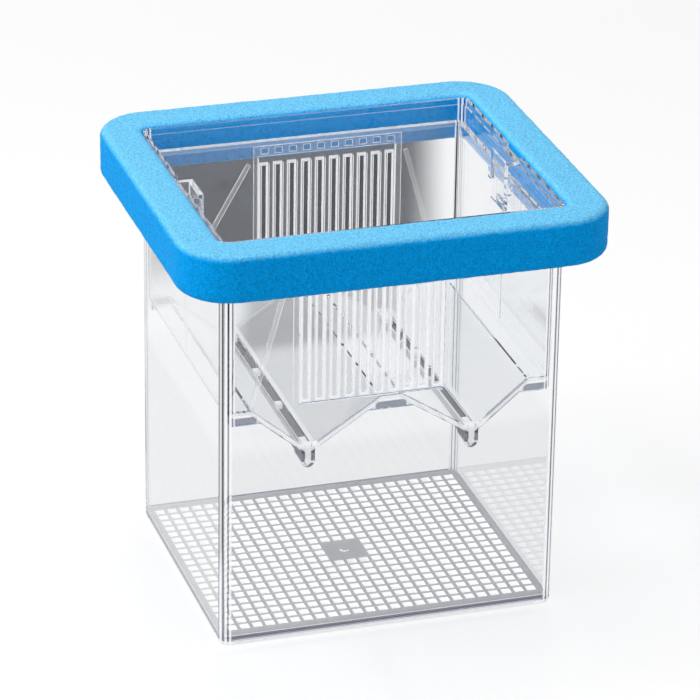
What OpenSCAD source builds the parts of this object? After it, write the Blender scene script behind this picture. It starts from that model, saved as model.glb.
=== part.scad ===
// Floating fish breeding box: a clear tank with a perforated floor, a foam
// float collar round its top, and a clear spawning tray hung inside it from
// two clips. The tray's W-shaped floor drops fry through two long slits.
// Millimetres. Origin at the middle of the footprint, on the resting face.
// X is the width, -Y faces the viewer, Z is up.

/* [Tank] */
// Outside width of the tank
tank_w = 130; // [116:1:160]
// Outside depth of the tank
tank_d = 114; // [100:1:140]
// Height of the tank from its foot to its rim
tank_h = 162.5; // [150:0.5:190]
// Thickness of the tank's walls
tank_wall = 2; // [1.6:0.1:2.6]
// Outside radius of the tank's upright corners
tank_corner = 4; // [3.2:0.2:6]
// Radius along the outside of the tank's foot
foot_round = 1.4; // [0.6:0.1:1.5]
// Height of the step inside the rim
rebate_h = 2.2; // [1:0.1:3]
// Depth of that step into the wall
rebate_t = 0.7; // [0.4:0.1:1]
// Width of the two rim notches that carry the clips
notch_w = 16; // [12:0.5:22]
// Depth of those notches below the rim
notch_h = 3; // [2.6:0.1:5]

/* [Floor grid] */
// Width of the ledge that carries the floor grid
ledge_w = 2.4; // [1.6:0.1:3.2]
// Thickness of that ledge
ledge_t = 1.6; // [1:0.1:2.4]
// Thickness of the floor grid
grid_t = 2; // [1.4:0.1:3]
// Distance from one hole of the grid to the next
grid_pitch = 4.9; // [4.2:0.1:8]
// Side of a square hole of the grid
grid_hole = 3.4; // [2.4:0.1:3.8]
// Solid border round the holes, at least
grid_border = 1.4; // [1:0.1:3]
// Holes that the solid pad in the middle replaces, each way
pad_cells = 3; // [1:2:5]
// Diameter of the round nib on the pad
nib_d = 3.6; // [2:0.2:8]
// Height of that nib
nib_h = 0.6; // [0.3:0.1:1.2]

/* [Float collar] */
// Width of the foam band, from its opening outwards
collar_band = 16; // [12:0.5:24]
// Height of the foam band
collar_h = 18.8; // [14:0.2:26]
// Radius along the edges of the band
collar_round = 2.4; // [1:0.2:4]
// Height of the foam above the tank's rim
collar_proud = 1.5; // [0.5:0.1:4]

/* [Spawning tray] */
// Thickness of the tray's walls
tray_wall = 1.8; // [1.4:0.1:2.4]
// Radius of the tray's outside corners
tray_corner = 3; // [2:0.2:4]
// Height from the tray's rim up to the tank's rim
tray_drop = 8; // [6:0.5:12]
// Depth of the tray from its rim to the flat parts of its floor
tray_depth = 60; // [52:1:72]
// Height of the thicker bead round the tray's rim
bead_h = 1.6; // [1:0.1:3]
// Thickness that the bead adds on the inside
bead_t = 0.8; // [0.4:0.1:1.2]
// Height of the web under the floor's flats, on the end walls
skirt_h = 5.5; // [3:0.5:8]
// Width of the braces that slant across the end walls
brace_w = 1.8; // [1:0.1:2.6]
// Thickness of the braces and of the side walls' uprights
brace_t = 0.7; // [0.4:0.1:1]

/* [Troughs] */
// Thickness of the tray's floor
floor_t = 2; // [1.4:0.1:2.4]
// Distance between the two slits
trough_gap = 63; // [56:1:70]
// Depth of a trough below the floor's flats
trough_h = 17; // [12:1:22]
// Width of the flat between the troughs
middle_land = 8; // [4:1:14]
// Width of the flat beside each side wall
side_land = 7.4; // [5:0.2:10]
// Width of the slit along each trough
slit_w = 2.6; // [1.6:0.1:4]
// Thickness of the lips on both sides of a slit
lip_t = 1.3; // [1:0.1:2]
// Height of those lips
lip_h = 5; // [4:0.5:8]
// Height of the feet at both ends of a trough
foot_h = 8.5; // [8.2:0.1:12]
// Length of those feet
foot_len = 9; // [6:0.5:14]
// Length of the bridges across a slit
bridge_len = 3; // [2:0.5:6]
// Number of bridges across each slit
bridges = 2; // [1:1:4]

/* [Slotted grilles] */
// Number of slots in a grille
slots = 10; // [4:1:10]
// Width of a slot
slot_w = 2; // [1.2:0.1:3]
// Distance from one slot to the next
slot_pitch = 5.6; // [4.8:0.1:6]
// Solid strip above the slots, in the plate
slot_head = 3; // [1:0.2:8]
// Width of the sunk edge round each slot
slot_edge = 0.8; // [0.4:0.1:1.1]
// Depth of that sunk edge
slot_sink = 0.5; // [0.2:0.1:0.8]
// Solid strip beside the outer slots, at least
grille_side = 3.4; // [3:0.2:6]
// Sideways shift of a grille from the middle of its wall
grille_shift = 7.5; // [0:0.5:9]
// Overlap of the grille's flange on the wall behind it
flange_w = 2; // [1.2:0.1:2.6]
// Thickness of that flange
flange_t = 0.8; // [0.5:0.1:1.2]
// Height of the small windows above the slots
window_h = 2.2; // [1:0.1:2.4]

/* [Clips] */
// Thickness of a clip
clip_t = 1.6; // [1.2:0.1:2]
// Length of a clip's tongue below the tray's rim
clip_leg = 12; // [8:1:20]
// Height of the barb that carries the tray
barb_h = 2.2; // [1.6:0.1:3]
// Width of that barb
barb_w = 8; // [5:0.5:10]
// Width of the guide lugs beside a clip
lug_w = 2.4; // [1.6:0.2:4]
// Height of the guide lugs
lug_h = 4.4; // [3:0.2:6]

/* [Clearances] */
// Gap between the tray and the tank's walls
tray_gap = 0.8; // [0.5:0.1:1.2]
// Gap between the foam and the tank's walls
collar_gap = 0.3; // [0.2:0.05:0.6]
// Gap round the pieces that sit in a seat
fit = 0.2; // [0.1:0.05:0.3]

/* [Hidden] */
$fn = 48;
// Length by which a cut runs past its piece, and by which joined shapes overlap
over = 1;
lap = 0.1;

clear_col = [0.86, 0.90, 0.94];
tray_col = [0.78, 0.85, 0.91];
grid_col = [0.76, 0.77, 0.79];
grille_col = [0.62, 0.66, 0.70];
clip_col = [0.70, 0.80, 0.90];
foam_col = [0.13, 0.60, 0.93];

// Inside of the tank
inner_w = tank_w - 2 * tank_wall;
inner_d = tank_d - 2 * tank_wall;
inner_corner = tank_corner - tank_wall;

// Collar
collar_top = tank_h + collar_proud;
collar_bottom = collar_top - collar_h;
hole_w = tank_w + 2 * collar_gap;
hole_d = tank_d + 2 * collar_gap;
hole_corner = tank_corner + collar_gap;

// Floor grid: an odd number of holes each way keeps the pad in the middle
plate_w = inner_w - 2 * fit;
plate_d = inner_d - 2 * fit;
cols = odd_count(plate_w);
rows = odd_count(plate_d);
grid_bar = grid_pitch - grid_hole;
field_w = cols * grid_pitch - grid_bar;
field_d = rows * grid_pitch - grid_bar;

// Tray
tray_w = inner_w - 2 * tray_gap;
tray_d = inner_d - 2 * tray_gap;
room_w = tray_w - 2 * tray_wall;
room_d = tray_d - 2 * tray_wall;
tray_top = tank_h - tray_drop;
flat_z = tray_top - tray_depth;
trough_z = flat_z - trough_h;
lip_z = trough_z - lip_h;
foot_z = trough_z - foot_h;
skirt_z = flat_z - skirt_h;
trough_x = trough_gap / 2;
crease_in = middle_land / 2;
crease_out = room_w / 2 - side_land;
lip_in = slit_w / 2;
lip_out = lip_in + lip_t;
slit_len = tray_d - 2 * foot_len;

// Slopes of a trough's two plates, and the undersides they give
run_in = trough_x - lip_in - crease_in;
run_out = crease_out - trough_x - lip_in;
slope_in = atan(trough_h / run_in);
slope_out = atan(trough_h / run_out);
mitre_in = floor_t * tan(slope_in / 2);
mitre_out = floor_t * tan(slope_out / 2);

// Grille: the wall's window, the plate in it and the flange behind it
grille_w = (slots - 1) * slot_pitch + slot_w + 2 * grille_side;
grille_base = flat_z + fit;
grille_top = tray_top - bead_h - fit;
hatch_w = grille_w - 2 * flange_w;
hatch_top = grille_top - flange_w - window_h;
slot_base = grille_base + fit + 2 * slot_edge;
slot_h = hatch_top - fit - slot_head - slot_edge - slot_base;

// Clips
notch_z = tank_h - notch_h;
clip_w = notch_w - 2 * fit;
tongue_x = room_w / 2 - bead_t - clip_t;
barb_z = tray_top - clip_leg;
lug_top = tray_top - bead_h;

// Odd number of grid holes that fit across a plate of this size
function odd_count(size) = 2 * floor(((size - 2 * grid_border + grid_pitch
    - grid_hole) / grid_pitch - 1) / 2) + 1;

// Height of the trough plates' undersides at a distance from the middle
function under_in(x) = flat_z - floor_t - (x - crease_in + mitre_in) * tan(slope_in);
function under_out(x) = flat_z - floor_t - (crease_out + mitre_out - x) * tan(slope_out);

// Distance from the middle at which those undersides pass a height
function reach_in(z) = crease_in - mitre_in + (flat_z - floor_t - z) / tan(slope_in);
function reach_out(z) = crease_out + mitre_out - (flat_z - floor_t - z) / tan(slope_out);

// Flat rectangle with round corners, centred
module round_rect(w, d, r) {
    square([w - 2 * r, d], center = true);
    square([w, d - 2 * r], center = true);
    for (x = [-1, 1], y = [-1, 1])
        translate([x * (w / 2 - r), y * (d / 2 - r)]) circle(r);
}

// Sweeps a wall section round a rounded rectangle. The section's X is the
// distance out from a loop of size w by d with corner radius r, its Y is height.
module sweep_loop(w, d, r) {
    for (x = [-1, 1], y = [-1, 1])
        translate([x * (w / 2 - r), y * (d / 2 - r), 0])
            rotate([0, 0, (x > 0 ? (y > 0 ? 0 : 270) : (y > 0 ? 90 : 180))])
                rotate_extrude(angle = 90) translate([r, 0]) children();
    for (side = [0, 180]) {
        rotate([0, 0, side]) translate([w / 2, d / 2 - r, 0]) rotate([90, 0, 0])
            linear_extrude(d - 2 * r) children();
        rotate([0, 0, side]) translate([-w / 2 + r, d / 2, 0])
            rotate([90, 0, 90]) linear_extrude(w - 2 * r) children();
    }
}

// A section's outline, given in X and Z, as a plate that is d deep along Y
module along_y(d) {
    translate([0, d / 2, 0]) rotate([90, 0, 0]) linear_extrude(d) children();
}

// Both halves of something that is the same on the left and on the right
module both_sides() {
    children();
    mirror([1, 0, 0]) children();
}

// Section of the tank's wall: round outside at the foot, stepped at the rim
module tank_section() {
    difference() {
        square([tank_wall, tank_h]);
        translate([-over, tank_h - rebate_h]) square([rebate_t + over, rebate_h + over]);
        translate([tank_wall - foot_round, 0]) difference() {
            translate([0, -over]) square([foot_round + over, foot_round + over]);
            translate([0, foot_round]) circle(foot_round);
        }
    }
}

module tank_shell() {
    color(clear_col) difference() {
        union() {
            sweep_loop(inner_w, inner_d, inner_corner) tank_section();
            linear_extrude(ledge_t) difference() {
                round_rect(inner_w + tank_wall, inner_d + tank_wall, inner_corner + tank_wall / 2);
                round_rect(inner_w - 2 * ledge_w, inner_d - 2 * ledge_w, inner_corner);
            }
        }
        // Rim notches for the two clips
        for (x = [-1, 1])
            translate([x * tank_w / 2, 0, tank_h])
                cube([4 * tank_wall, notch_w, 2 * notch_h], center = true);
    }
}

module floor_grid() {
    color(grid_col) translate([0, 0, ledge_t]) {
        linear_extrude(grid_t) {
            difference() {
                round_rect(plate_w, plate_d, inner_corner);
                square([field_w, field_d], center = true);
            }
            // Bars both ways, and the solid pad in the middle
            for (i = [1 : cols - 1])
                translate([(i - cols / 2) * grid_pitch, 0])
                    square([grid_bar, field_d + grid_bar], center = true);
            for (j = [1 : rows - 1])
                translate([0, (j - rows / 2) * grid_pitch])
                    square([field_w + grid_bar, grid_bar], center = true);
            square(pad_cells * grid_pitch + grid_bar, center = true);
        }
        translate([0, 0, grid_t]) cylinder(h = nib_h, d = nib_d);
    }
}

// Section of the foam band, with four round edges
module collar_section() {
    translate([collar_band / 2, collar_h / 2])
        round_rect(collar_band, collar_h, collar_round);
}

module float_collar() {
    color(foam_col) translate([0, 0, collar_bottom])
        sweep_loop(hole_w, hole_d, hole_corner) collar_section();
}

// Right half of the tray's section: side wall, flats and one trough
module gutter_half() {
    // Plate from the middle to the slit, with its lip
    polygon([
        [0, flat_z], [crease_in, flat_z],
        [trough_x - lip_in, trough_z], [trough_x - lip_in, lip_z],
        [trough_x - lip_out, lip_z], [trough_x - lip_out, under_in(trough_x - lip_out)],
        [crease_in - mitre_in, flat_z - floor_t], [0, flat_z - floor_t]
    ]);
    // Plate from the slit to the side wall, with its lip
    polygon([
        [trough_x + lip_in, trough_z], [crease_out, flat_z], [room_w / 2 + lap, flat_z],
        [room_w / 2 + lap, flat_z - floor_t], [crease_out + mitre_out, flat_z - floor_t],
        [trough_x + lip_out, under_out(trough_x + lip_out)],
        [trough_x + lip_out, lip_z], [trough_x + lip_in, lip_z]
    ]);
    // Side wall, round where it meets the floor
    translate([room_w / 2, flat_z - floor_t + tray_corner])
        square([tray_wall, tray_depth + floor_t - tray_corner]);
    intersection() {
        translate([tray_w / 2 - tray_corner, flat_z - floor_t + tray_corner]) difference() {
            circle(tray_corner);
            circle(tray_corner - tray_wall);
        }
        translate([tray_w / 2 - tray_corner, flat_z - floor_t])
            square([tray_corner, tray_corner]);
    }
}

// Outline of a trough's foot: a long loop that is open in the middle
module foot_outline() {
    difference() {
        union() {
            translate([trough_x - lip_out, foot_z + lip_out])
                square([2 * lip_out, foot_h - lip_out]);
            translate([trough_x, foot_z + lip_out]) circle(lip_out);
        }
        translate([trough_x - lip_in, foot_z + lip_out])
            square([2 * lip_in, foot_h - lip_out - floor_t]);
        translate([trough_x, foot_z + lip_out]) circle(lip_in);
    }
}

// Right half of an end wall's outline: down to the skirts and the troughs
module end_outline() {
    polygon([
        [0, tray_top], [tray_w / 2, tray_top], [tray_w / 2, skirt_z + tray_corner / 2],
        [tray_w / 2 - tray_corner / 2, skirt_z], [reach_out(skirt_z), skirt_z],
        [trough_x + lip_out, under_out(trough_x + lip_out)], [trough_x + lip_out, lip_z],
        [trough_x - lip_out, lip_z], [trough_x - lip_out, under_in(trough_x - lip_out)],
        [reach_in(skirt_z), skirt_z], [0, skirt_z]
    ]);
}

// Brace that slants from beside the grille, near its top, to the floor's outer
// crease, let into the wall by the overlap.
module brace(top_x) {
    top_z = hatch_top - slot_head;
    run = crease_out - top_x;
    drop = top_z - flat_z;
    translate([top_x, -lap, top_z]) rotate([0, atan2(drop, run), 0])
        translate([0, 0, -brace_w / 2]) cube([norm([run, drop]), brace_t, brace_w]);
}

// Front wall of the tray. The rear one is the same, turned half round
module tray_end() {
    difference() {
        translate([0, -tray_d / 2 + tray_wall / 2, 0]) {
            along_y(tray_wall) both_sides() end_outline();
        }
        // Window for the grille
        translate([-grille_shift - hatch_w / 2, -tray_d / 2 - over, grille_base])
            cube([hatch_w, tray_wall + 2 * over, hatch_top - grille_base]);
    }
    // Two braces slant from the grille's sides down to the floor's corners
    translate([0, -room_d / 2, 0]) {
        brace(-grille_shift + grille_w / 2 + brace_w);
        mirror([1, 0, 0]) brace(grille_shift + grille_w / 2 + brace_w);
    }
    // Feet of the two troughs
    translate([0, -tray_d / 2 + foot_len / 2, 0])
        along_y(foot_len) both_sides() foot_outline();
}

// Bead round the inside of the rim, open where a clip passes
module rim_bead() {
    difference() {
        translate([0, 0, tray_top - bead_h]) linear_extrude(bead_h) difference() {
            round_rect(tray_w - tray_wall, tray_d - tray_wall, tray_corner);
            square([room_w - 2 * bead_t, room_d - 2 * bead_t], center = true);
        }
        translate([-tray_w, -clip_w / 2 - fit, tray_top - bead_h - over])
            cube([2 * tray_w, clip_w + 2 * fit, bead_h + 2 * over]);
    }
}

// Right side wall's upright and the two lugs that guide the clip
module side_fittings() {
    translate([room_w / 2 - brace_t, -brace_w / 2, flat_z - floor_t / 2])
        cube([brace_t + tray_wall / 2, brace_w, barb_z - flat_z - barb_h]);
    for (y = [-1, 1])
        translate([tongue_x, y * (clip_w / 2 + fit + lug_w / 2) - lug_w / 2, lug_top - lug_h])
            cube([room_w / 2 + tray_wall / 2 - tongue_x, lug_w, lug_h]);
}

module spawning_tray() {
    color(tray_col) difference() {
        union() {
            intersection() {
                union() {
                    along_y(tray_d - tray_wall) both_sides() gutter_half();
                    tray_end();
                    rotate([0, 0, 180]) tray_end();
                    rim_bead();
                }
                translate([0, 0, foot_z - over]) linear_extrude(tray_top - foot_z + over)
                    round_rect(tray_w, tray_d, tray_corner);
            }
            both_sides() side_fittings();
            // Bridges across the slits
            both_sides() for (k = [1 : bridges])
                translate([trough_x - lip_out, (k / (bridges + 1) - 0.5) * slit_len
                           - bridge_len / 2, trough_z - floor_t])
                    cube([2 * lip_out, bridge_len, floor_t]);
        }
        // Windows for the clips' barbs
        for (x = [-1, 1])
            translate([x * tray_w / 2, 0, barb_z])
                cube([4 * tray_wall, barb_w + 2 * fit, barb_h + 2 * fit], center = true);
    }
}

// Grille on the front wall: a slotted plate in the window, with a flange inside
module grille() {
    step = tray_wall + flange_t;
    first = -(slots - 1) / 2 * slot_pitch;
    translate([-grille_shift, -tray_d / 2, 0]) difference() {
        union() {
            translate([-grille_w / 2, tray_wall, grille_base])
                cube([grille_w, flange_t, grille_top - grille_base]);
            translate([-hatch_w / 2 + fit, 0, grille_base + fit])
                cube([hatch_w - 2 * fit, step, hatch_top - grille_base - 2 * fit]);
        }
        for (k = [0 : slots - 1]) translate([first + k * slot_pitch, 0, 0]) {
            translate([-slot_w / 2, -over, slot_base]) cube([slot_w, step + 2 * over, slot_h]);
            // Sunk edge round the slot, on the inside and on the outside
            for (y = [-over, step - slot_sink])
                translate([-slot_w / 2 - slot_edge, y, slot_base - slot_edge])
                    cube([slot_w + 2 * slot_edge, slot_sink + over, slot_h + 2 * slot_edge]);
            // Small window over the slot, in the flange's top strip
            translate([-slot_w / 2 - slot_edge / 2, tray_wall - over, grille_top - window_h
                       - flange_w / 2])
                cube([slot_w + slot_edge, flange_t + 2 * over, window_h]);
        }
    }
}

module front_grille() {
    color(grille_col) grille();
}

module rear_grille() {
    color(grille_col) rotate([0, 0, 180]) grille();
}

// Right clip: a tongue inside the tray, a hook that lies in the tank's rim
// notch, and a barb that carries the tray's wall
module clip() {
    translate([tongue_x, -clip_w / 2, barb_z - barb_h / 2])
        cube([clip_t, clip_w, notch_z + clip_t - barb_z + barb_h / 2]);
    translate([tongue_x, -clip_w / 2, notch_z])
        cube([tank_w / 2 - fit - tongue_x, clip_w, clip_t]);
    translate([tongue_x, -barb_w / 2, barb_z - barb_h / 2])
        cube([tray_w / 2 - tongue_x, barb_w, barb_h]);
}

module right_clip() {
    color(clip_col) clip();
}

module left_clip() {
    color(clip_col) mirror([1, 0, 0]) clip();
}

tank_shell();
floor_grid();
float_collar();
spawning_tray();
front_grille();
rear_grille();
left_clip();
right_clip();
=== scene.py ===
"""Fish breeding box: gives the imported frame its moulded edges, foam and finishes, and sets the stage.

Lengths are metres and angles degrees unless a name says otherwise. +Z is up and -Y faces the viewer.
"""

import math

import bmesh
import bpy
from bpy.props import FloatProperty, FloatVectorProperty, IntProperty, PointerProperty
from mathutils import Euler, Matrix, Vector, noise


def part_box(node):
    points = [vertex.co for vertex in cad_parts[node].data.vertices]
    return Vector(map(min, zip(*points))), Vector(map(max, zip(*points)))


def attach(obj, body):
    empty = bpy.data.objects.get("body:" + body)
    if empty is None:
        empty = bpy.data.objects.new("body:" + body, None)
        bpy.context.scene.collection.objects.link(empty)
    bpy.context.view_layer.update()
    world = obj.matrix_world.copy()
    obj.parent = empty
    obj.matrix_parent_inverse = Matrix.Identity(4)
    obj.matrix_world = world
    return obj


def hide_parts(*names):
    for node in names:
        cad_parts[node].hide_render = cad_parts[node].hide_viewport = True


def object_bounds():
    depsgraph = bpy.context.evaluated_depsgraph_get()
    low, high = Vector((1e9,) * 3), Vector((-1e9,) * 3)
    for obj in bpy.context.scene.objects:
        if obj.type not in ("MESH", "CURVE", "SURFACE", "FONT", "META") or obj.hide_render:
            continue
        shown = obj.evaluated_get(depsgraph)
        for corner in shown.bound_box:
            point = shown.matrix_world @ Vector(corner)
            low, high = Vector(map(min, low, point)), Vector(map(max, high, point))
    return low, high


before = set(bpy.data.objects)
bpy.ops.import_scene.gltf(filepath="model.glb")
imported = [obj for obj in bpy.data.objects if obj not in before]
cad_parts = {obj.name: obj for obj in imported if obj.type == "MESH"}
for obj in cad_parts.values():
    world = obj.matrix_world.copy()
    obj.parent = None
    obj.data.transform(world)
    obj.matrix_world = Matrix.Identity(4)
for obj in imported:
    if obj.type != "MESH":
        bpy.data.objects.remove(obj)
CAD_LOW, CAD_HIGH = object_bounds()
MM = 0.001
DEGREE = math.radians(1)
SEAT_GAP = 0.015 * MM
WELD = 0.002 * MM
FOLD_ANGLE, SHARP_ANGLE, ROUND_ANGLE = 0.6 * DEGREE, 20 * DEGREE, 32 * DEGREE

bl_info = {
    "name": "Fish Breeding Box",
    "version": (1, 0, 0),
    "blender": (4, 5, 0),
    "location": "3D View > Sidebar > Breeding Box",
    "description": "Makes the dressed pieces of a floating fish breeding box and their stage",
    "category": "Add Mesh",
}


# Sizes and colours that a user would change


class BoxSizes(bpy.types.PropertyGroup):
    """Sizes of what the scene adds to the frame."""

    foam_band: FloatProperty(
        name="Foam band",
        description="Width of the foam band, from its opening outwards",
        default=16 * MM,
        unit="LENGTH",
    )
    foam_corner: FloatProperty(
        name="Foam opening corner",
        description="Corner radius of the opening in the foam",
        default=4.3 * MM,
        unit="LENGTH",
    )
    foam_edge: FloatProperty(
        name="Foam edge",
        description="Radius along the long edges of the foam band",
        default=3.0 * MM,
        unit="LENGTH",
    )
    foam_cell: FloatProperty(
        name="Foam mesh size",
        description="Length of a face on the foam's surface",
        default=0.9 * MM,
        unit="LENGTH",
    )
    foam_grain: FloatProperty(
        name="Foam grain",
        description="Height of the grain on the foam's surface",
        default=0.14 * MM,
        unit="LENGTH",
    )
    wall_edge: FloatProperty(
        name="Wall edge",
        description="Rounding along the tank's and the tray's moulded edges",
        default=0.45 * MM,
        unit="LENGTH",
    )
    fine_edge: FloatProperty(
        name="Fine edge",
        description="Rounding along the edges of the small moulded pieces",
        default=0.3 * MM,
        unit="LENGTH",
    )
    grid_edge: FloatProperty(
        name="Grid edge",
        description="Rounding along the edges of the floor grid's holes",
        default=0.12 * MM,
        unit="LENGTH",
    )
    edge_steps: IntProperty(
        name="Edge steps",
        description="Faces across a rounded edge",
        default=3,
        min=1,
        max=4,
    )


class BoxFinish(bpy.types.PropertyGroup):
    """Colours and gloss of the finishes."""

    foam_side: FloatVectorProperty(
        name="Foam side colour",
        description="Colour of the float collar's sides",
        subtype="COLOR",
        size=3,
        default=(0.0, 0.38, 0.94),
    )
    # Painted light: the collar's top is drawn paler than its sides
    foam_painted_light_top: FloatVectorProperty(
        name="Foam lit top colour",
        description="Colour of the float collar's top, paler with painted light",
        subtype="COLOR",
        size=3,
        default=(0.18, 0.64, 1.0),
    )
    clear_tint: FloatVectorProperty(
        name="Clear plastic tint",
        description="What a wall of clear plastic lets through",
        subtype="COLOR",
        size=3,
        default=(0.975, 0.98, 0.985),
    )
    # Painted shade and painted dark lines on clear plastic are drawn in this tint
    painted_dark_tint: FloatVectorProperty(
        name="Painted dark tint",
        description="Tint of the grey lines along the corners of clear plastic",
        subtype="COLOR",
        size=3,
        default=(0.1, 0.11, 0.15),
    )
    # Painted shade in the channels under the tray's slits is drawn in this tint
    channel_shade_tint: FloatVectorProperty(
        name="Channel shade tint",
        description="Tint of the dark channels under the tray's slits",
        subtype="COLOR",
        size=3,
        default=(0.035, 0.035, 0.04),
    )
    grid_colour: FloatVectorProperty(
        name="Grid colour",
        description="Colour of the frosted floor grid",
        subtype="COLOR",
        size=3,
        default=(0.6, 0.6, 0.62),
    )
    clear_index: FloatProperty(
        name="Refractive index",
        description="Refractive index of the clear plastic",
        default=1.33,
        min=1.0,
        max=1.7,
    )


class BoxStage(bpy.types.PropertyGroup):
    """Where the camera stands and how the stage is lit."""

    aim: FloatVectorProperty(
        name="Aim",
        description="Point that the camera looks at",
        subtype="TRANSLATION",
        unit="LENGTH",
        size=3,
        default=(-0.0277, -0.0915, 0.1321),
    )
    distance: FloatProperty(
        name="Distance",
        description="Distance from the camera to the point it looks at",
        default=1.456,
        unit="LENGTH",
    )
    turn: FloatProperty(
        name="Turn",
        description="How far round to the left of the front the camera stands",
        default=math.radians(17.54),
        unit="ROTATION",
    )
    rise: FloatProperty(
        name="Rise",
        description="How far the camera looks down",
        default=math.radians(24.726),
        unit="ROTATION",
    )
    roll: FloatProperty(
        name="Roll",
        description="Tilt of the camera about its own axis",
        default=math.radians(0.893),
        unit="ROTATION",
    )
    focal_share: FloatProperty(
        name="Focal length share",
        description="Focal length over the width of the picture",
        default=5.9088,
    )


def sizes():
    return bpy.context.scene.breeding_box_sizes


def finish():
    return bpy.context.scene.breeding_box_finish


def stage():
    return bpy.context.scene.breeding_box_stage


# Meshes


def object_from(bm, name, materials, smooth=True):
    """A scene object at the origin, made from bm, which is used up."""
    mesh = bpy.data.meshes.new(name)
    for face in bm.faces:
        face.smooth = smooth
    bm.to_mesh(mesh)
    bm.free()
    for material in materials:
        mesh.materials.append(material)
    piece = bpy.data.objects.new(name, mesh)
    bpy.context.scene.collection.objects.link(piece)
    return piece


def seat(piece, body, nodes):
    """Lets a piece ride on a body and stand for CAD nodes."""
    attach(piece, body)
    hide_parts(*nodes)


def solid_copy(node):
    """A bmesh of a CAD node with its loose triangles joined and its flat faces made whole."""
    bm = bmesh.new()
    bm.from_mesh(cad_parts[node].data)
    bmesh.ops.remove_doubles(bm, verts=bm.verts, dist=WELD)
    bmesh.ops.dissolve_degenerate(bm, edges=bm.edges, dist=WELD)
    bmesh.ops.dissolve_limit(
        bm,
        angle_limit=FOLD_ANGLE,
        verts=bm.verts,
        edges=bm.edges,
        delimit={"NORMAL"},
    )
    bmesh.ops.connect_verts_concave(bm, faces=bm.faces)
    return bm


def round_edges(bm, width, steps):
    """Rounds every edge of bm at which its faces turn by more than ROUND_ANGLE."""
    sharp = [
        edge
        for edge in bm.edges
        if len(edge.link_faces) == 2 and edge.calc_face_angle(0) > ROUND_ANGLE
    ]
    bmesh.ops.bevel(
        bm,
        geom=sharp,
        offset=width,
        offset_type="OFFSET",
        segments=steps,
        profile=0.5,
        affect="EDGES",
        material=1,
        clamp_overlap=True,
        miter_outer="SHARP",
    )


def draw_in(bm, depth):
    """Draws a skin in by a hair, so that no two clear pieces share a face."""
    bm.normal_update()
    moves = [vert.normal * -depth * vert.calc_shell_factor() for vert in bm.verts]
    for vert, move in zip(bm.verts, moves):
        vert.co += move


def moulded(node, body, material, width, edge=None):
    """A copy of a CAD node that stands for it, with round edges of their own material."""
    bm = solid_copy(node)
    round_edges(bm, width, sizes().edge_steps)
    draw_in(bm, SEAT_GAP)
    piece = object_from(bm, node.replace("_", "-"), [material, edge or highlight_edge()])
    weigh_normals(piece)
    seat(piece, body, [node])


def weigh_normals(piece):
    """Lets flat faces stay flat beside their round edges, with no shading drawn across a fold."""
    piece.data.set_sharp_from_angle(angle=SHARP_ANGLE)
    modifier = piece.modifiers.new("flat faces", "WEIGHTED_NORMAL")
    modifier.keep_sharp = True
    modifier.weight = 80


# Materials


# Share of the glow in a painted highlight
HIGHLIGHT_GLOW_SHARE = 0.65


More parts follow.
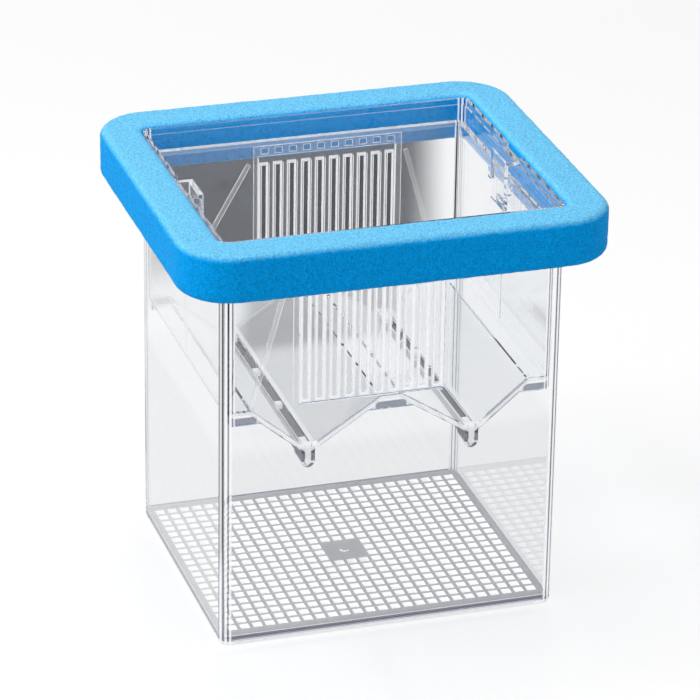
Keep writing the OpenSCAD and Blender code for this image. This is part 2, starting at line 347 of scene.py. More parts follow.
class Shader:
    """The node tree of a material or of the world, built a node at a time."""

    def __init__(self, owner, output="ShaderNodeOutputMaterial"):
        self.owner = owner
        owner.use_nodes = True
        self.tree = owner.node_tree
        self.tree.nodes.clear()
        self.output = self.add(output)

    def add(self, kind, settings=None, **values):
        """A new node. settings are the node's own, values go to the inputs of those names."""
        node = self.tree.nodes.new(kind)
        for key, value in (settings or {}).items():
            setattr(node, key, value)
        for key, value in values.items():
            self.feed(node.inputs[key.replace("_", " ")], value)
        return node

    def feed(self, socket, value):
        """Links an output to a socket, or sets the socket to a number or colour."""
        if isinstance(value, bpy.types.NodeSocket):
            self.tree.links.new(value, socket)
        elif hasattr(value, "__len__") and len(value) == 3 and socket.type == "RGBA":
            socket.default_value = (*value, 1)
        else:
            socket.default_value = value

    def place(self):
        """Object coordinates, in metres in the part's own frame."""
        return self.add("ShaderNodeTexCoord").outputs["Object"]

    def maths(self, operation, first, second=0.0):
        node = self.add("ShaderNodeMath", {"operation": operation})
        self.feed(node.inputs[0], first)
        self.feed(node.inputs[1], second)
        return node.outputs[0]

    def scaled(self, value, factor, offset):
        """value times factor, plus offset."""
        output = self.maths("MULTIPLY_ADD", value, factor)
        self.feed(output.node.inputs[2], offset)
        return output

    def split(self, vector):
        """The three numbers of a vector."""
        node = self.add("ShaderNodeSeparateXYZ")
        self.feed(node.inputs[0], vector)
        return tuple(node.outputs)

    def upward(self):
        """How far up a face looks, from -1 to 1."""
        return self.split(self.add("ShaderNodeNewGeometry").outputs["Normal"])[2]

    def ramp(self, value, low, high):
        """0 where value is at low or past it, 1 at high, and smooth between."""
        node = self.add("ShaderNodeMapRange", {"interpolation_type": "SMOOTHSTEP"})
        for key, number in (("Value", value), ("From Min", low), ("From Max", high)):
            self.feed(node.inputs[key], number)
        return node.outputs["Result"]

    def grain(self, place, size, detail=2.0, rough=0.5):
        """Noise whose grains are about this long."""
        node = self.add("ShaderNodeTexNoise", Detail=detail, Roughness=rough, Scale=1 / size)
        self.feed(node.inputs["Vector"], place)
        return node.outputs["Fac"]

    def blend(self, share, first, second):
        """A colour between two others."""
        node = self.add("ShaderNodeMix", {"data_type": "RGBA"})
        self.feed(node.inputs["Factor"], share)
        self.feed(node.inputs[6], first)
        self.feed(node.inputs[7], second)
        return node.outputs[2]

    def mixed(self, share, first, second):
        """A surface between two others."""
        node = self.add("ShaderNodeMixShader")
        for socket, value in zip(node.inputs, (share, first, second)):
            self.feed(socket, value)
        return node.outputs[0]

    def painted_highlight_skin(self):
        """A painted highlight: a white, softly glossy skin with a glow, as a rounded edge has where it
        catches the light.
        """
        gloss = self.add("ShaderNodeBsdfGlossy", Color=(0.97, 0.98, 1.0), Roughness=0.2)
        white = self.add("ShaderNodeEmission", Color=(0.98, 0.985, 1.0), Strength=1.0)
        return self.mixed(HIGHLIGHT_GLOW_SHARE, gloss.outputs[0], white.outputs[0])

    def clear_to_shadow(self, surface):
        """The surface, but see-through to the light that passes through it."""
        path = self.add("ShaderNodeLightPath")
        open_way = self.add("ShaderNodeBsdfTransparent", Color=(0.985, 0.988, 0.99))
        return self.mixed(path.outputs["Is Shadow Ray"], surface, open_way.outputs[0])

    def finish(self, surface):
        self.feed(self.output.inputs["Surface"], surface)
        return self.owner


SOAK_COLOUR, SOAK_DENSITY = (0.5, 0.56, 0.68), 5.0
HAZE_COLOUR = (0.8, 0.82, 0.86)
POLISH, EDGE_POLISH = 0.02, 0.05
# Share of the painted highlight on rounded edges and on painted highlight lines
EDGE_HIGHLIGHT_SHARE = 0.65
CLIP_INDEX = 1.12
RIPPLE_LENGTH, RIPPLE_HEIGHT = 9 * MM, 0.4 * MM
RIPPLE_STRETCH, RIPPLE_STRENGTH = 0.12, 0.03


def glass(shader, roughness, index, **values):
    """A polished surface that light passes through."""
    skin = shader.add("ShaderNodeBsdfPrincipled", **values)
    skin.inputs["Roughness"].default_value = roughness
    skin.inputs["IOR"].default_value = index
    skin.inputs["Transmission Weight"].default_value = 1.0
    return skin.outputs[0]


def clear_plastic(name, paint=None, index=None):
    """Polished clear plastic. paint gives by place the shares of painted shade in the channels, painted dark
    lines and shade, painted highlights and haze.
    """
    look = finish()
    shader = Shader(bpy.data.materials.new(name))
    place = shader.place()
    tint = look.clear_tint
    if paint:
        # Painted shade and painted dark lines are drawn as a darker tint, and painted highlights are mixed in
        # as a glowing white skin
        channel, line, highlight_share, haze = paint(shader, place)
        tint = shader.blend(line, tint, look.painted_dark_tint)
        tint = shader.blend(channel, tint, look.channel_shade_tint)
    ripple = shader.add("ShaderNodeMapping", Scale=(1, 1, RIPPLE_STRETCH))
    shader.feed(ripple.inputs["Vector"], place)
    waves = shader.grain(ripple.outputs["Vector"], RIPPLE_LENGTH, detail=1.0)
    bump = shader.add("ShaderNodeBump", Strength=RIPPLE_STRENGTH, Distance=RIPPLE_HEIGHT, Height=waves)
    index = index or look.clear_index
    surface = glass(shader, POLISH, index, Base_Color=tint, Normal=bump.outputs["Normal"])
    if paint:
        milk = shader.add("ShaderNodeBsdfDiffuse", Color=HAZE_COLOUR).outputs[0]
        surface = shader.mixed(haze, surface, milk)
        surface = shader.mixed(highlight_share, surface, shader.painted_highlight_skin())
    soak = shader.add("ShaderNodeVolumeAbsorption", Color=SOAK_COLOUR, Density=SOAK_DENSITY)
    shader.feed(shader.output.inputs["Volume"], soak.outputs[0])
    return shader.finish(shader.clear_to_shadow(surface))


def highlight_edge():
    """The rounded edges of clear plastic, with a painted highlight where they catch the light."""
    if "painted highlight edge" in bpy.data.materials:
        return bpy.data.materials["painted highlight edge"]
    look = finish()
    shader = Shader(bpy.data.materials.new("painted highlight edge"))
    skin = glass(shader, EDGE_POLISH, look.clear_index, Base_Color=look.clear_tint)
    return shader.finish(shader.clear_to_shadow(shader.mixed(EDGE_HIGHLIGHT_SHARE, skin, shader.painted_highlight_skin())))


# Where the frame's own features are, in the part's coordinates
TANK_CORNER, TRAY_CORNER = 4 * MM, 3 * MM
TRAY_WALL, BRACE = 1.8 * MM, 0.7 * MM
FLAT_Z, TROUGH_Z, TROUGH_X = 94.5 * MM, 77.5 * MM, 31.5 * MM
CREASE_IN, CREASE_OUT = 4 * MM, 53 * MM
SLIT_HALF, LIP = 1.3 * MM, 1.3 * MM
PLATE = 2.4 * MM
SLOT_SINK, SLOT_PITCH, SLOT_EDGE = 0.5 * MM, 5.6 * MM, 1.8 * MM
SLOT_MIDDLE, SLOT_REACH = 120.5 * MM, 24 * MM
GRILLE_SHIFT = 7.5 * MM

# Where the painted highlights and painted dark lines lie round an upright corner, in degrees from 0 at its
# side to 90 at its end
HIGHLIGHT_TURNS = ((14, 33), (51, 64), (77, 88))
DARK_LINE_TURNS = ((2, 11), (36, 48), (66, 74))
TURN_SOFT = 2 * DEGREE

# Heights of the painted highlight and painted dark lines round the tank's foot, and how far below the tray's
# flats a faint painted shade sets in
FOOT_HIGHLIGHT = (0.3 * MM, 1.9 * MM)
FOOT_DARK_LINES = ((0.0, 0.45 * MM), (2.3 * MM, 3.4 * MM))
LOW_SHADE_FROM, LOW_SHADE_FULL = 12 * MM, 20 * MM

# How strongly each feature is painted, where 1 is full: painted highlights, painted dark lines and painted
# shade, and the haze
CORNER_HIGHLIGHT, BRIDGE_HIGHLIGHT, BRACE_HIGHLIGHT, SLOT_HIGHLIGHT = 1.2, 1.2, 0.3, 1.4
LOW_SHADE, OUTLINE_DARK, PLATE_SHADE = 0.07, 0.7, 0.25
CHANNEL_SHADE_SHARE, HAZE_SHARE = 0.7, 0.08

# Where the haze ends towards the right
HAZE_END, HAZE_FULL = 60 * MM, 40 * MM


class Paint:
    """Shares of painted shade in the channels, painted dark lines and shade, painted highlights and haze on
    clear plastic, by place in the part.
    """

    def __init__(self, shader, place, node, corner=None):
        self.shader = shader
        self.x, self.y, self.z = shader.split(place)
        self.side_x = shader.maths("ABSOLUTE", self.x)
        self.side_y = shader.maths("ABSOLUTE", self.y)
        self.low, self.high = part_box(node)
        # channel and grey hold painted shade and painted dark lines, and bright holds painted highlights
        self.channel = self.grey = self.bright = self.haze = 0.0
        if corner:
            self.corners(corner)

    def between(self, value, low, high, soft=0.12 * MM):
        """1 where value lies between low and high, with soft borders."""
        above = self.shader.ramp(value, low - soft, low + soft)
        below = self.shader.ramp(value, high + soft, high - soft)
        return self.both(above, below)

    def both(self, first, second):
        return self.shader.maths("MULTIPLY", first, second)

    def most(self, first, second):
        return self.shader.maths("MAXIMUM", first, second)

    def add_painted_dark(self, share, amount=1.0):
        self.grey = self.most(self.grey, self.both(share, amount))

    def add_painted_highlight(self, share, amount=1.0):
        self.bright = self.most(self.bright, self.both(share, amount))

    def corners(self, radius):
        """Painted highlights and painted dark lines down the round upright corners."""
        shader = self.shader
        past_x = shader.maths("SUBTRACT", self.side_x, self.high.x - radius)
        past_y = shader.maths("SUBTRACT", self.side_y, self.high.y - radius)
        past_x, past_y = self.most(past_x, 0), self.most(past_y, 0)
        turn = shader.maths("ARCTAN2", past_y, past_x)
        far = shader.scaled(past_x, past_x, self.both(past_y, past_y))
        skin = shader.ramp(shader.maths("SQRT", far), radius - 0.9 * MM, radius - 0.5 * MM)
        for low, high in HIGHLIGHT_TURNS:
            line = self.between(turn, low * DEGREE, high * DEGREE, TURN_SOFT)
            self.add_painted_highlight(self.both(skin, line), CORNER_HIGHLIGHT)
        for low, high in DARK_LINE_TURNS:
            line = self.between(turn, low * DEGREE, high * DEGREE, TURN_SOFT)
            self.add_painted_dark(self.both(skin, line))

    def add_haze(self, inner):
        """A faint haze on the rear end, from its inner face outwards, that clears to the right."""
        rear = self.shader.ramp(self.y, inner - 0.6 * MM, inner - 0.2 * MM)
        left = self.shader.ramp(self.x, HAZE_END, HAZE_FULL)
        self.haze = self.both(self.both(rear, left), HAZE_SHARE)

    def shares(self):
        return self.channel, self.grey, self.both(self.bright, EDGE_HIGHLIGHT_SHARE), self.haze


def tank_paint(shader, place):
    """Painted highlights and dark lines along the tank's corners and foot, and a faint painted shade below
    the tray.
    """
    paint = Paint(shader, place, "tank_shell", TANK_CORNER)
    paint.add_painted_highlight(paint.between(paint.z, *FOOT_HIGHLIGHT))
    for heights in FOOT_DARK_LINES:
        paint.add_painted_dark(paint.between(paint.z, *heights))
    paint.add_painted_dark(shader.ramp(paint.z, FLAT_Z - LOW_SHADE_FROM, FLAT_Z - LOW_SHADE_FULL), LOW_SHADE)
    return paint.shares()


def height_over_floor(paint, off_slit):
    """How high a point lies over the tray's folded floor."""
    shader = paint.shader
    run_in = TROUGH_X - SLIT_HALF - CREASE_IN
    run_out = CREASE_OUT - TROUGH_X - SLIT_HALF
    inward = shader.scaled(off_slit, 1 / run_in, 1 + SLIT_HALF / run_in)
    outward = shader.scaled(off_slit, -1 / run_out, 1 + SLIT_HALF / run_out)
    share = shader.maths("MINIMUM", inward, outward)
    share = shader.maths("MINIMUM", paint.most(share, 0), 1)
    floor = shader.scaled(share, TROUGH_Z - FLAT_Z, FLAT_Z)
    return shader.maths("SUBTRACT", paint.z, floor)


def paint_ends(paint, over):
    """A painted highlight W with painted dark outlines on the tray's ends, and painted shade on the skirts.
    over is height over the floor.
    """
    shader = paint.shader
    end = shader.ramp(paint.side_y, paint.high.y - 0.6 * MM, paint.high.y - 0.3 * MM)
    paint.add_painted_highlight(paint.both(end, paint.between(over, -PLATE + 0.4 * MM, -0.3 * MM)))
    for low, high in ((-0.2 * MM, 0.1 * MM), (-PLATE - 0.3 * MM, -PLATE + 0.1 * MM)):
        paint.add_painted_dark(paint.both(end, paint.between(over, low, high)), OUTLINE_DARK)
    flat = paint.most(
        shader.ramp(paint.side_x, CREASE_IN + 2.5 * MM, CREASE_IN + 1.5 * MM),
        shader.ramp(paint.side_x, CREASE_OUT - 2.5 * MM, CREASE_OUT - 1.5 * MM),
    )
    # Painted shade on the skirts below the flats
    skirt = paint.between(paint.z, FLAT_Z - 5 * MM, FLAT_Z - PLATE)
    paint.add_painted_dark(paint.both(end, paint.both(flat, skirt)))


def paint_slits(paint, beside):
    """Painted highlights on the rails and bridges, and painted shade in the channels below. beside is the
    distance from a slit's middle.
    """
    shader = paint.shader
    valley = paint.between(paint.z, TROUGH_Z - 6 * MM, TROUGH_Z + 1.5 * MM)
    rail = paint.between(beside, SLIT_HALF + 0.3 * MM, SLIT_HALF + LIP + 0.4 * MM)
    top = shader.ramp(paint.z, TROUGH_Z - 0.5 * MM, TROUGH_Z - 0.3 * MM)
    paint.add_painted_highlight(paint.both(valley, paint.both(rail, top)))
    bridge = shader.ramp(beside, SLIT_HALF - 0.1 * MM, SLIT_HALF - 0.25 * MM)
    paint.add_painted_highlight(paint.both(valley, bridge), BRIDGE_HIGHLIGHT)
    lips = shader.ramp(beside, SLIT_HALF + LIP + 0.2 * MM, SLIT_HALF + LIP + 0.1 * MM)
    below = shader.ramp(paint.z, TROUGH_Z - 0.4 * MM, TROUGH_Z - 0.6 * MM)
    channel = paint.both(valley, paint.both(lips, below))
    paint.add_painted_dark(channel)
    paint.channel = paint.both(channel, CHANNEL_SHADE_SHARE)


def paint_inside(paint):
    """Faint painted highlights on the braces, a haze on the rear wall, and painted shade on the plate left of
    the floor's ridge.
    """
    shader = paint.shader
    wall = paint.high.y - TRAY_WALL
    brace = paint.between(paint.side_y, wall - BRACE - 0.1 * MM, wall - 0.15 * MM, 0.05 * MM)
    inside = shader.ramp(paint.side_x, paint.high.x - TRAY_CORNER, paint.high.x - TRAY_CORNER - MM)
    upper = shader.ramp(paint.z, FLAT_Z + 0.5 * MM, FLAT_Z + 1.5 * MM)
    paint.add_painted_highlight(paint.both(brace, paint.both(inside, upper)), BRACE_HIGHLIGHT)
    paint.add_haze(wall)
    plate = paint.between(paint.x, LIP + SLIT_HALF - TROUGH_X, -CREASE_IN)
    floor_only = paint.both(
        shader.ramp(paint.side_y, wall, wall - 0.3 * MM),
        shader.ramp(paint.z, FLAT_Z + 0.4 * MM, FLAT_Z + 0.2 * MM),
    )
    paint.add_painted_dark(paint.both(plate, floor_only), PLATE_SHADE)


def tray_paint(shader, place):
    """Painted highlights and dark lines along the tray's corners, its W floor's ends and slits, and its
    braces.
    """
    paint = Paint(shader, place, "spawning_tray", TRAY_CORNER)
    off_slit = shader.maths("SUBTRACT", paint.side_x, TROUGH_X)
    paint_ends(paint, height_over_floor(paint, off_slit))
    paint_slits(paint, shader.maths("ABSOLUTE", off_slit))
    paint_inside(paint)
    return paint.shares()


def grille_paint(shader, place):
    """Painted highlight lines round the slots, on the borders of their sunk edges."""
    paint = Paint(shader, place, "front_grille")
    outer = -paint.low.y
    sunk = paint.between(paint.side_y, outer - SLOT_SINK - 0.2 * MM, outer - 0.1 * MM, 0.05 * MM)
    middle = shader.maths("MULTIPLY", shader.maths("SIGN", paint.y), GRILLE_SHIFT)
    along = shader.maths("SUBTRACT", shader.maths("SUBTRACT", paint.x, middle), SLOT_PITCH / 2)
    aside = shader.maths("PINGPONG", along, SLOT_PITCH / 2)
    rim = shader.ramp(aside, SLOT_EDGE - 0.5 * MM, SLOT_EDGE - 0.35 * MM)
    ends = shader.ramp(
        shader.maths("ABSOLUTE", shader.maths("SUBTRACT", paint.z, SLOT_MIDDLE)),
        SLOT_REACH - 0.4 * MM,
        SLOT_REACH,
    )
    paint.add_painted_highlight(paint.both(sunk, paint.most(rim, ends)), SLOT_HIGHLIGHT)
    paint.add_haze(-paint.high.y)
    return paint.shares()


# The foam's grain: sizes, how far each counts, and how dark and light it runs
FINE_GRAIN, COARSE_GRAIN = 0.46 * MM, 1.1 * MM
FINE_SHARE, COARSE_SHARE = 0.75, 0.25
GRAIN_DARK, GRAIN_LIGHT = 0.7, 1.22
GRAIN_LOW, GRAIN_HIGH = 0.34, 0.66

# A painted glow on the foam's inner side, standing in for light soaking through it, and how deep behind the
# opening it reaches
FOAM_PAINTED_GLOW = 0.12
GLOW_REACH_END, GLOW_REACH_FULL = 2.5 * MM, 0.5 * MM


def foam_material():
    """Closed-cell foam: a fine matt grain, drawn paler on top as painted light, with a painted glow on its
    inner side.
    """
    look = finish()
    shader = Shader(bpy.data.materials.new("blue foam"))
    place = shader.place()
    fine = shader.grain(place, FINE_GRAIN, detail=1.0, rough=0.6)
    coarse = shader.grain(place, COARSE_GRAIN, detail=1.0)
    cells = shader.scaled(coarse, COARSE_SHARE, shader.maths("MULTIPLY", fine, FINE_SHARE))
    # Painted light: faces that look up get the paler top colour
    base = shader.blend(shader.ramp(shader.upward(), 0.2, 0.9), look.foam_side, look.foam_painted_light_top)
    grain = shader.ramp(cells, GRAIN_LOW, GRAIN_HIGH)
    dark = shader.add("ShaderNodeHueSaturation", Value=GRAIN_DARK, Color=base).outputs["Color"]
    light = shader.add("ShaderNodeHueSaturation", Value=GRAIN_LIGHT, Color=base).outputs["Color"]
    colour = shader.blend(grain, dark, light)
    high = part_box("float_collar")[1]
    x, y = shader.split(place)[:2]
    within = [
        shader.ramp(
            shader.maths("ABSOLUTE", way),
            edge - sizes().foam_band + GLOW_REACH_END,
            edge - sizes().foam_band + GLOW_REACH_FULL,
        )
        for way, edge in ((x, high.x), (y, high.y))
    ]
    # Painted glow: the inner side glows in its own colour
    inner = shader.maths("MULTIPLY", *within)
    bump = shader.add("ShaderNodeBump", Strength=0.6, Distance=0.25 * MM, Height=cells)
    foam = shader.add(
        "ShaderNodeBsdfPrincipled",
        Base_Color=colour,
        Normal=bump.outputs["Normal"],
        Emission_Color=colour,
        Emission_Strength=shader.maths("MULTIPLY", inner, FOAM_PAINTED_GLOW),
    )
    foam.inputs["Roughness"].default_value = 0.8
    foam.inputs["Specular IOR Level"].default_value = 0.05
    foam.inputs["Sheen Weight"].default_value = 0.06
    foam.inputs["Sheen Roughness"].default_value = 0.4
    foam.inputs["Sheen Tint"].default_value = (0.75, 0.9, 1.0, 1)
    return shader.finish(foam.outputs[0])


GRID_CLOUD = 6 * MM
# Glow of the painted light on the hole walls
HOLE_PAINTED_GLOW = 0.38


def grid_material():
    """Frosted clear plastic of the floor grid, whose hole walls carry painted light: a near-white colour and
    a glow.
    """
    look = finish()
    shader = Shader(bpy.data.materials.new("frosted grid"))
    place = shader.place()
    cloud = shader.grain(place, GRID_CLOUD)
    # Painted light on the hole walls: near-white and glowing
    upright = shader.ramp(shader.maths("ABSOLUTE", shader.upward()), 0.5, 0.25)
    top = shader.blend(cloud, look.grid_colour, tuple(c * 1.1 for c in look.grid_colour))
    colour = shader.blend(upright, top, (0.97, 0.97, 0.97))
    bump = shader.add(
        "ShaderNodeBump", Strength=0.1, Distance=0.1 * MM, Height=shader.grain(place, 0.6 * MM)
    )
    plastic = shader.add(
        "ShaderNodeBsdfPrincipled",
        Base_Color=colour,
        Normal=bump.outputs["Normal"],
        Emission_Color=(1, 1, 1),
        Emission_Strength=shader.maths("MULTIPLY", upright, HOLE_PAINTED_GLOW),
    )
    plastic.inputs["Roughness"].default_value = 0.28
    plastic.inputs["Transmission Weight"].default_value = 0.15
    plastic.inputs["IOR"].default_value = look.clear_index
    return shader.finish(plastic.outputs[0])


# Pieces

# The lumps on the foam's surface: their lengths, the wide ones' share, and how far the surface is drawn in
FINE_LUMP, WIDE_LUMP = 1.7 * MM, 14 * MM
WIDE_SHARE, LUMP_DROP = 0.8, 0.6


def ring_point(half_x, half_y, radius, share):
    """A point and the way out from it, at a share of the way round a rounded rectangle."""
    sides = (half_y - radius, half_x - radius)
    quarter = radius * math.pi / 2
    way = share * (4 * sum(sides) + 4 * quarter)
    for side in range(4):
        along, across = sides[side % 2], sides[1 - side % 2]
        if way <= 2 * along + quarter or side == 3:
            break
        way -= 2 * along + quarter
    turn = max(0.0, way - 2 * along) / radius
    out = Vector((math.cos(turn), math.sin(turn)))
    point = Vector((across, min(way, 2 * along) - along)) + out * radius
    square = Matrix.Rotation(side * math.pi / 2, 2)
    return square @ point, square @ out


def foam_collar():
    """The float collar: a rounded foam band closed round the tank, with a fine grain."""
    size = sizes()
    low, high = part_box("float_collar")
    band, height = size.foam_band, high.z - low.z
    ring = (high.x - band / 2, high.y - band / 2, size.foam_corner + band / 2)
    section = (band / 2, height / 2, size.foam_edge)
    round_steps = round(4 * (ring[0] + ring[1]) / size.foam_cell)
    cross_steps = round(2 * (band + height) / size.foam_cell)
    bm = bmesh.new()
    bmesh.ops.create_grid(bm, x_segments=round_steps, y_segments=cross_steps, size=1)
    places = {k: ring_point(*ring, k / round_steps) for k in range(round_steps + 1)}
    offsets = {k: ring_point(*section, k / cross_steps)[0] for k in range(cross_steps + 1)}
    for vert in bm.verts:
        place, out = places[round((vert.co.x + 1) / 2 * round_steps)]
        offset = offsets[round((vert.co.y + 1) / 2 * cross_steps)]
        vert.co = (*(place + out * offset.x), low.z + height / 2 + offset.y)
    bmesh.ops.remove_doubles(bm, verts=bm.verts, dist=0.01 * MM)
    bmesh.ops.recalc_face_normals(bm, faces=bm.faces)
    roughen(bm, size.foam_grain)
    piece = object_from(bm, "foam-collar", [foam_material()])
    seat(piece, "collar", ["float_collar"])


def roughen(bm, height):
    """Moves each point along its normal by a fine grain, drawn in so that it stays near the collar's box."""
    bm.normal_update()
    moves = []
    for vert in bm.verts:
        fine = noise.noise(vert.co * (1 / FINE_LUMP))
        wide = noise.noise(vert.co * (1 / WIDE_LUMP))
        moves.append(vert.normal * height * (fine + WIDE_SHARE * wide - LUMP_DROP))
    for vert, move in zip(bm.verts, moves):
        vert.co += move


class MakeCollar(bpy.types.Operator):
    """Make the foam float collar"""

    bl_idname = "breeding_box.make_collar"
    bl_label = "Foam Collar"
    bl_options = {"REGISTER", "UNDO"}

    def execute(self, context):
        foam_collar()
        return {"FINISHED"}


class MakeTank(bpy.types.Operator):
    """Make the clear tank with its moulded edges"""

    bl_idname = "breeding_box.make_tank"
    bl_label = "Tank"
    bl_options = {"REGISTER", "UNDO"}

    def execute(self, context):
        material = clear_plastic("clear tank", paint=tank_paint)
        moulded("tank_shell", "tank", material, sizes().wall_edge)
        return {"FINISHED"}


class MakeGrid(bpy.types.Operator):
    """Make the perforated floor grid"""

    bl_idname = "breeding_box.make_grid"
    bl_label = "Floor Grid"
    bl_options = {"REGISTER", "UNDO"}

    def execute(self, context):
        material = grid_material()
        moulded("floor_grid", "tank", material, sizes().grid_edge, edge=material)
        return {"FINISHED"}


class MakeTray(bpy.types.Operator):
    """Make the spawning tray with its troughs"""

    bl_idname = "breeding_box.make_tray"
    bl_label = "Spawning Tray"
    bl_options = {"REGISTER", "UNDO"}

    def execute(self, context):
        material = clear_plastic("clear tray", paint=tray_paint)
        moulded("spawning_tray", "tray", material, sizes().fine_edge)
        return {"FINISHED"}


class MakeGrilles(bpy.types.Operator):
    """Make the two slotted grilles"""

    bl_idname = "breeding_box.make_grilles"
    bl_label = "Slotted Grilles"
    bl_options = {"REGISTER", "UNDO"}

    def execute(self, context):
        material = clear_plastic("clear grille", paint=grille_paint)
        for node in ("front_grille", "rear_grille"):
            moulded(node, "tray", material, sizes().fine_edge)
        return {"FINISHED"}


class MakeClips(bpy.types.Operator):
    """Make the two clips that hang the tray"""

    bl_idname = "breeding_box.make_clips"
    bl_label = "Clips"
    bl_options = {"REGISTER", "UNDO"}

    def execute(self, context):
        material = clear_plastic("clear clip", index=CLIP_INDEX)
        for node in ("left_clip", "right_clip"):
            moulded(node, "tray", material, sizes().fine_edge, edge=material)
        return {"FINISHED"}


# Stage


SOFT_LIGHT = 0.6
SKY_BANDS = ((0.34, 0.07), (0.68, 0.08))
BAND_COLOUR = (0.16, 0.17, 0.2)
FLOOR_BOUNCE = 0.6
FLOOR_GLOW, FLOOR_GLOSS = 0.6, 0.05
FLOOR_WHITE = 0.98
LAMPS = (("key", (-1.0, 0.05, 1.55), 0.9, 15), ("side", (-1.6, -0.25, 0.4), 0.8, 2.5))
SENSOR_WIDTH = 36

# A painted dark patch on the floor behind the box, seen through clear plastic alone, which puts painted shade
# into what the clear walls show. It leans to the right as it runs back. Each pair is where a border begins
# and where the patch is full, in metres
DARK_PATCH_COLOUR = (0.075, 0.078, 0.09)
PATCH_LEAN = 0.327
PATCH_LEFT, PATCH_RIGHT = (-0.13, -0.11), (0.046, 0.022)
PATCH_NEAR, PATCH_FAR = (0.259, 0.305), (0.47, 0.43)
SHADE_LEFT, SHADE_RIGHT, SHADE_NEAR = (-0.055, -0.045), (0.025, 0.015), (0.185, 0.2)
SHADE_SHARE = 0.5


def painted_dark_patch(shader):
    """The share of the painted dark patch, with a fainter painted shade before it, by place on the floor."""
    x, y = shader.split(shader.place())[:2]
    across = shader.maths("SUBTRACT", x, shader.maths("MULTIPLY", y, PATCH_LEAN))

    def within(*borders):
        share = shader.ramp(y, *PATCH_FAR)
        for value, border in borders:
            share = shader.maths("MULTIPLY", share, shader.ramp(value, *border))
        return share

    patch = within((across, PATCH_LEFT), (across, PATCH_RIGHT), (y, PATCH_NEAR))
    shade = within((across, SHADE_LEFT), (across, SHADE_RIGHT), (y, SHADE_NEAR))
    return shader.maths("MAXIMUM", patch, shader.maths("MULTIPLY", shade, SHADE_SHARE))


def floor_material():
    """A white studio floor, with soft shadows and a faint gloss to sight, and the painted dark patch through
    glass.
    """
    shader = Shader(bpy.data.materials.new("studio floor"))
    matt = shader.add("ShaderNodeBsdfDiffuse", Color=(FLOOR_BOUNCE,) * 3).outputs[0]
    shade = shader.add("ShaderNodeBsdfDiffuse", Color=(0.45, 0.45, 0.455)).outputs[0]
    glow = shader.add("ShaderNodeEmission", Color=(1, 1, 1), Strength=FLOOR_GLOW).outputs[0]
    lit = shader.add("ShaderNodeAddShader")
    shader.feed(lit.inputs[0], shade)
    shader.feed(lit.inputs[1], glow)
    gloss = shader.add("ShaderNodeBsdfGlossy", Color=(1, 1, 1), Roughness=0.12).outputs[0]
    polished = shader.mixed(FLOOR_GLOSS, lit.outputs[0], gloss)
    white = shader.add("ShaderNodeEmission", Color=(1, 1, 1), Strength=FLOOR_WHITE).outputs[0]
    through = shader.blend(painted_dark_patch(shader), (1, 1, 1), DARK_PATCH_COLOUR)
    patched = shader.add("ShaderNodeEmission", Color=through, Strength=FLOOR_WHITE).outputs[0]
    path = shader.add("ShaderNodeLightPath")
    surface = shader.mixed(path.outputs["Is Camera Ray"], matt, polished)
    surface = shader.mixed(path.outputs["Is Glossy Ray"], surface, white)
    surface = shader.mixed(path.outputs["Is Transmission Ray"], surface, patched)
    return shader.finish(surface)


def studio_floor():
    """A wide plain floor under the box."""
    bm = bmesh.new()
    bmesh.ops.create_grid(bm, x_segments=1, y_segments=1, size=8)
    floor = object_from(bm, "studio-floor", [floor_material()], smooth=False)


def studio_world():
    """Soft light all round: plain white to sight, with two grey bands in gloss and through glass."""
    world = bpy.data.worlds.new("studio")
    bpy.context.scene.world = world
    shader = Shader(world, "ShaderNodeOutputWorld")
    soft = shader.add("ShaderNodeBackground", Color=(1, 1, 1), Strength=SOFT_LIGHT).outputs[0]
    height = shader.split(shader.add("ShaderNodeTexCoord").outputs["Generated"])[2]
    dark = 0.0
    for middle, half in SKY_BANDS:
        below = shader.ramp(height, middle - half, middle - half / 3)
        above = shader.ramp(height, middle + half, middle + half / 3)
        dark = shader.maths("MAXIMUM", shader.maths("MULTIPLY", below, above), dark)
    sky = shader.blend(dark, (1, 1, 1), BAND_COLOUR)
    seen = shader.add("ShaderNodeBackground", Color=sky, Strength=1.0).outputs[0]
    plain_sight = shader.add("ShaderNodeBackground", Color=(1, 1, 1), Strength=1.0).outputs[0]
    path = shader.add("ShaderNodeLightPath")
    share = shader.maths("MAXIMUM", path.outputs["Is Glossy Ray"], path.outputs["Is Transmission Ray"])
    light = shader.mixed(share, soft, seen)
    shader.finish(shader.mixed(path.outputs["Is Camera Ray"], light, plain_sight))


def soft_light(name, place, size, watts):
    """A square lamp that shines from a place at the middle of the box."""
    data = bpy.data.lights.new(name, "AREA")
    data.shape = "SQUARE"
    data.size = size
    data.energy = watts
    lamp = bpy.data.objects.new(name, data)
    bpy.context.scene.collection.objects.link(lamp)
    lamp.location = place
    middle = Vector((0, 0, CAD_HIGH.z / 2))
    lamp.rotation_euler = (middle - Vector(place)).to_track_quat("-Z", "Y").to_euler()
    lamp.visible_glossy = False
    lamp.visible_transmission = False
    lamp.visible_camera = False


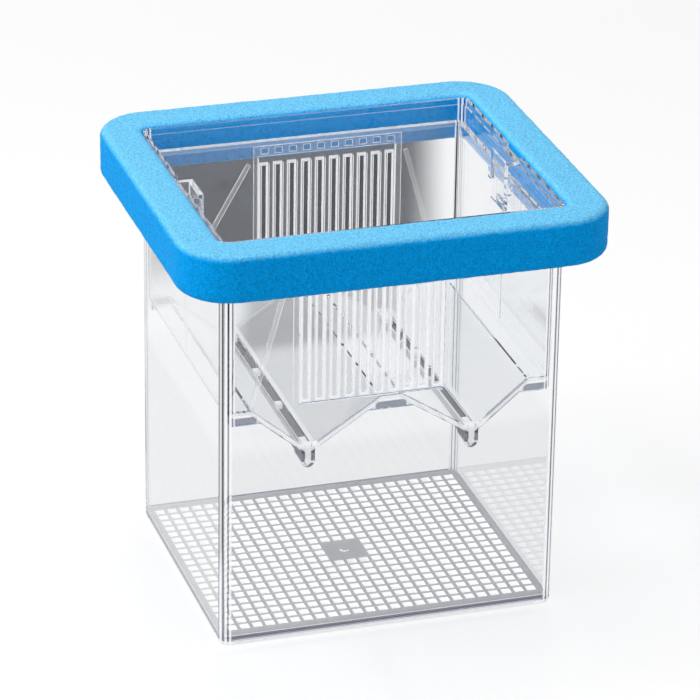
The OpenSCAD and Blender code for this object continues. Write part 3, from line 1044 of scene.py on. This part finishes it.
def set_camera():
    """The camera, from its turn, rise, roll and distance."""
    view = stage()
    data = bpy.data.cameras.new("camera")
    data.sensor_width = SENSOR_WIDTH
    data.lens = view.focal_share * data.sensor_width
    data.clip_start, data.clip_end = 0.05, 60
    camera = bpy.data.objects.new("camera", data)
    bpy.context.scene.collection.objects.link(camera)
    aim = Euler((math.pi / 2 - view.rise, 0, -view.turn)).to_matrix()
    back = aim @ Vector((0, 0, 1))
    camera.rotation_euler = (aim @ Matrix.Rotation(view.roll, 3, "Z")).to_euler()
    camera.location = Vector(view.aim) + back * view.distance
    bpy.context.scene.camera = camera


class SetStage(bpy.types.Operator):
    """Set the floor, the light and the camera"""

    bl_idname = "breeding_box.set_stage"
    bl_label = "Stage"
    bl_options = {"REGISTER", "UNDO"}

    def execute(self, context):
        studio_floor()
        studio_world()
        for lamp in LAMPS:
            soft_light(*lamp)
        set_camera()
        scene = context.scene
        scene.view_settings.view_transform = "Standard"
        scene.cycles.max_bounces = 40
        scene.cycles.transmission_bounces = 40
        scene.cycles.transparent_max_bounces = 48
        scene.cycles.glossy_bounces = 24
        scene.cycles.diffuse_bounces = 3
        return {"FINISHED"}


MAKERS = (MakeCollar, MakeTank, MakeGrid, MakeTray, MakeGrilles, MakeClips, SetStage)


class BoxPanel(bpy.types.Panel):
    """Sidebar panel with the pieces, their sizes and finishes"""

    bl_idname = "VIEW3D_PT_breeding_box"
    bl_label = "Breeding Box"
    bl_space_type = "VIEW_3D"
    bl_region_type = "UI"
    bl_category = "Breeding Box"

    def draw(self, context):
        layout = self.layout
        for maker in MAKERS:
            layout.operator(maker.bl_idname)
        for group in (sizes(), finish(), stage()):
            box = layout.box()
            for name in group.bl_rna.properties.keys():
                if name not in ("rna_type", "name"):
                    box.prop(group, name)


GROUPS = {
    "breeding_box_sizes": BoxSizes,
    "breeding_box_finish": BoxFinish,
    "breeding_box_stage": BoxStage,
}


def register():
    for cls in (*GROUPS.values(), *MAKERS, BoxPanel):
        bpy.utils.register_class(cls)
    for name, group in GROUPS.items():
        setattr(bpy.types.Scene, name, PointerProperty(type=group))


def unregister():
    for name in GROUPS:
        delattr(bpy.types.Scene, name)
    for cls in reversed((*GROUPS.values(), *MAKERS, BoxPanel)):
        bpy.utils.unregister_class(cls)


def main():
    register()
    for maker in MAKERS:
        group, name = maker.bl_idname.split(".")
        getattr(getattr(bpy.ops, group), name)()


if __name__ == "__main__":
    main()
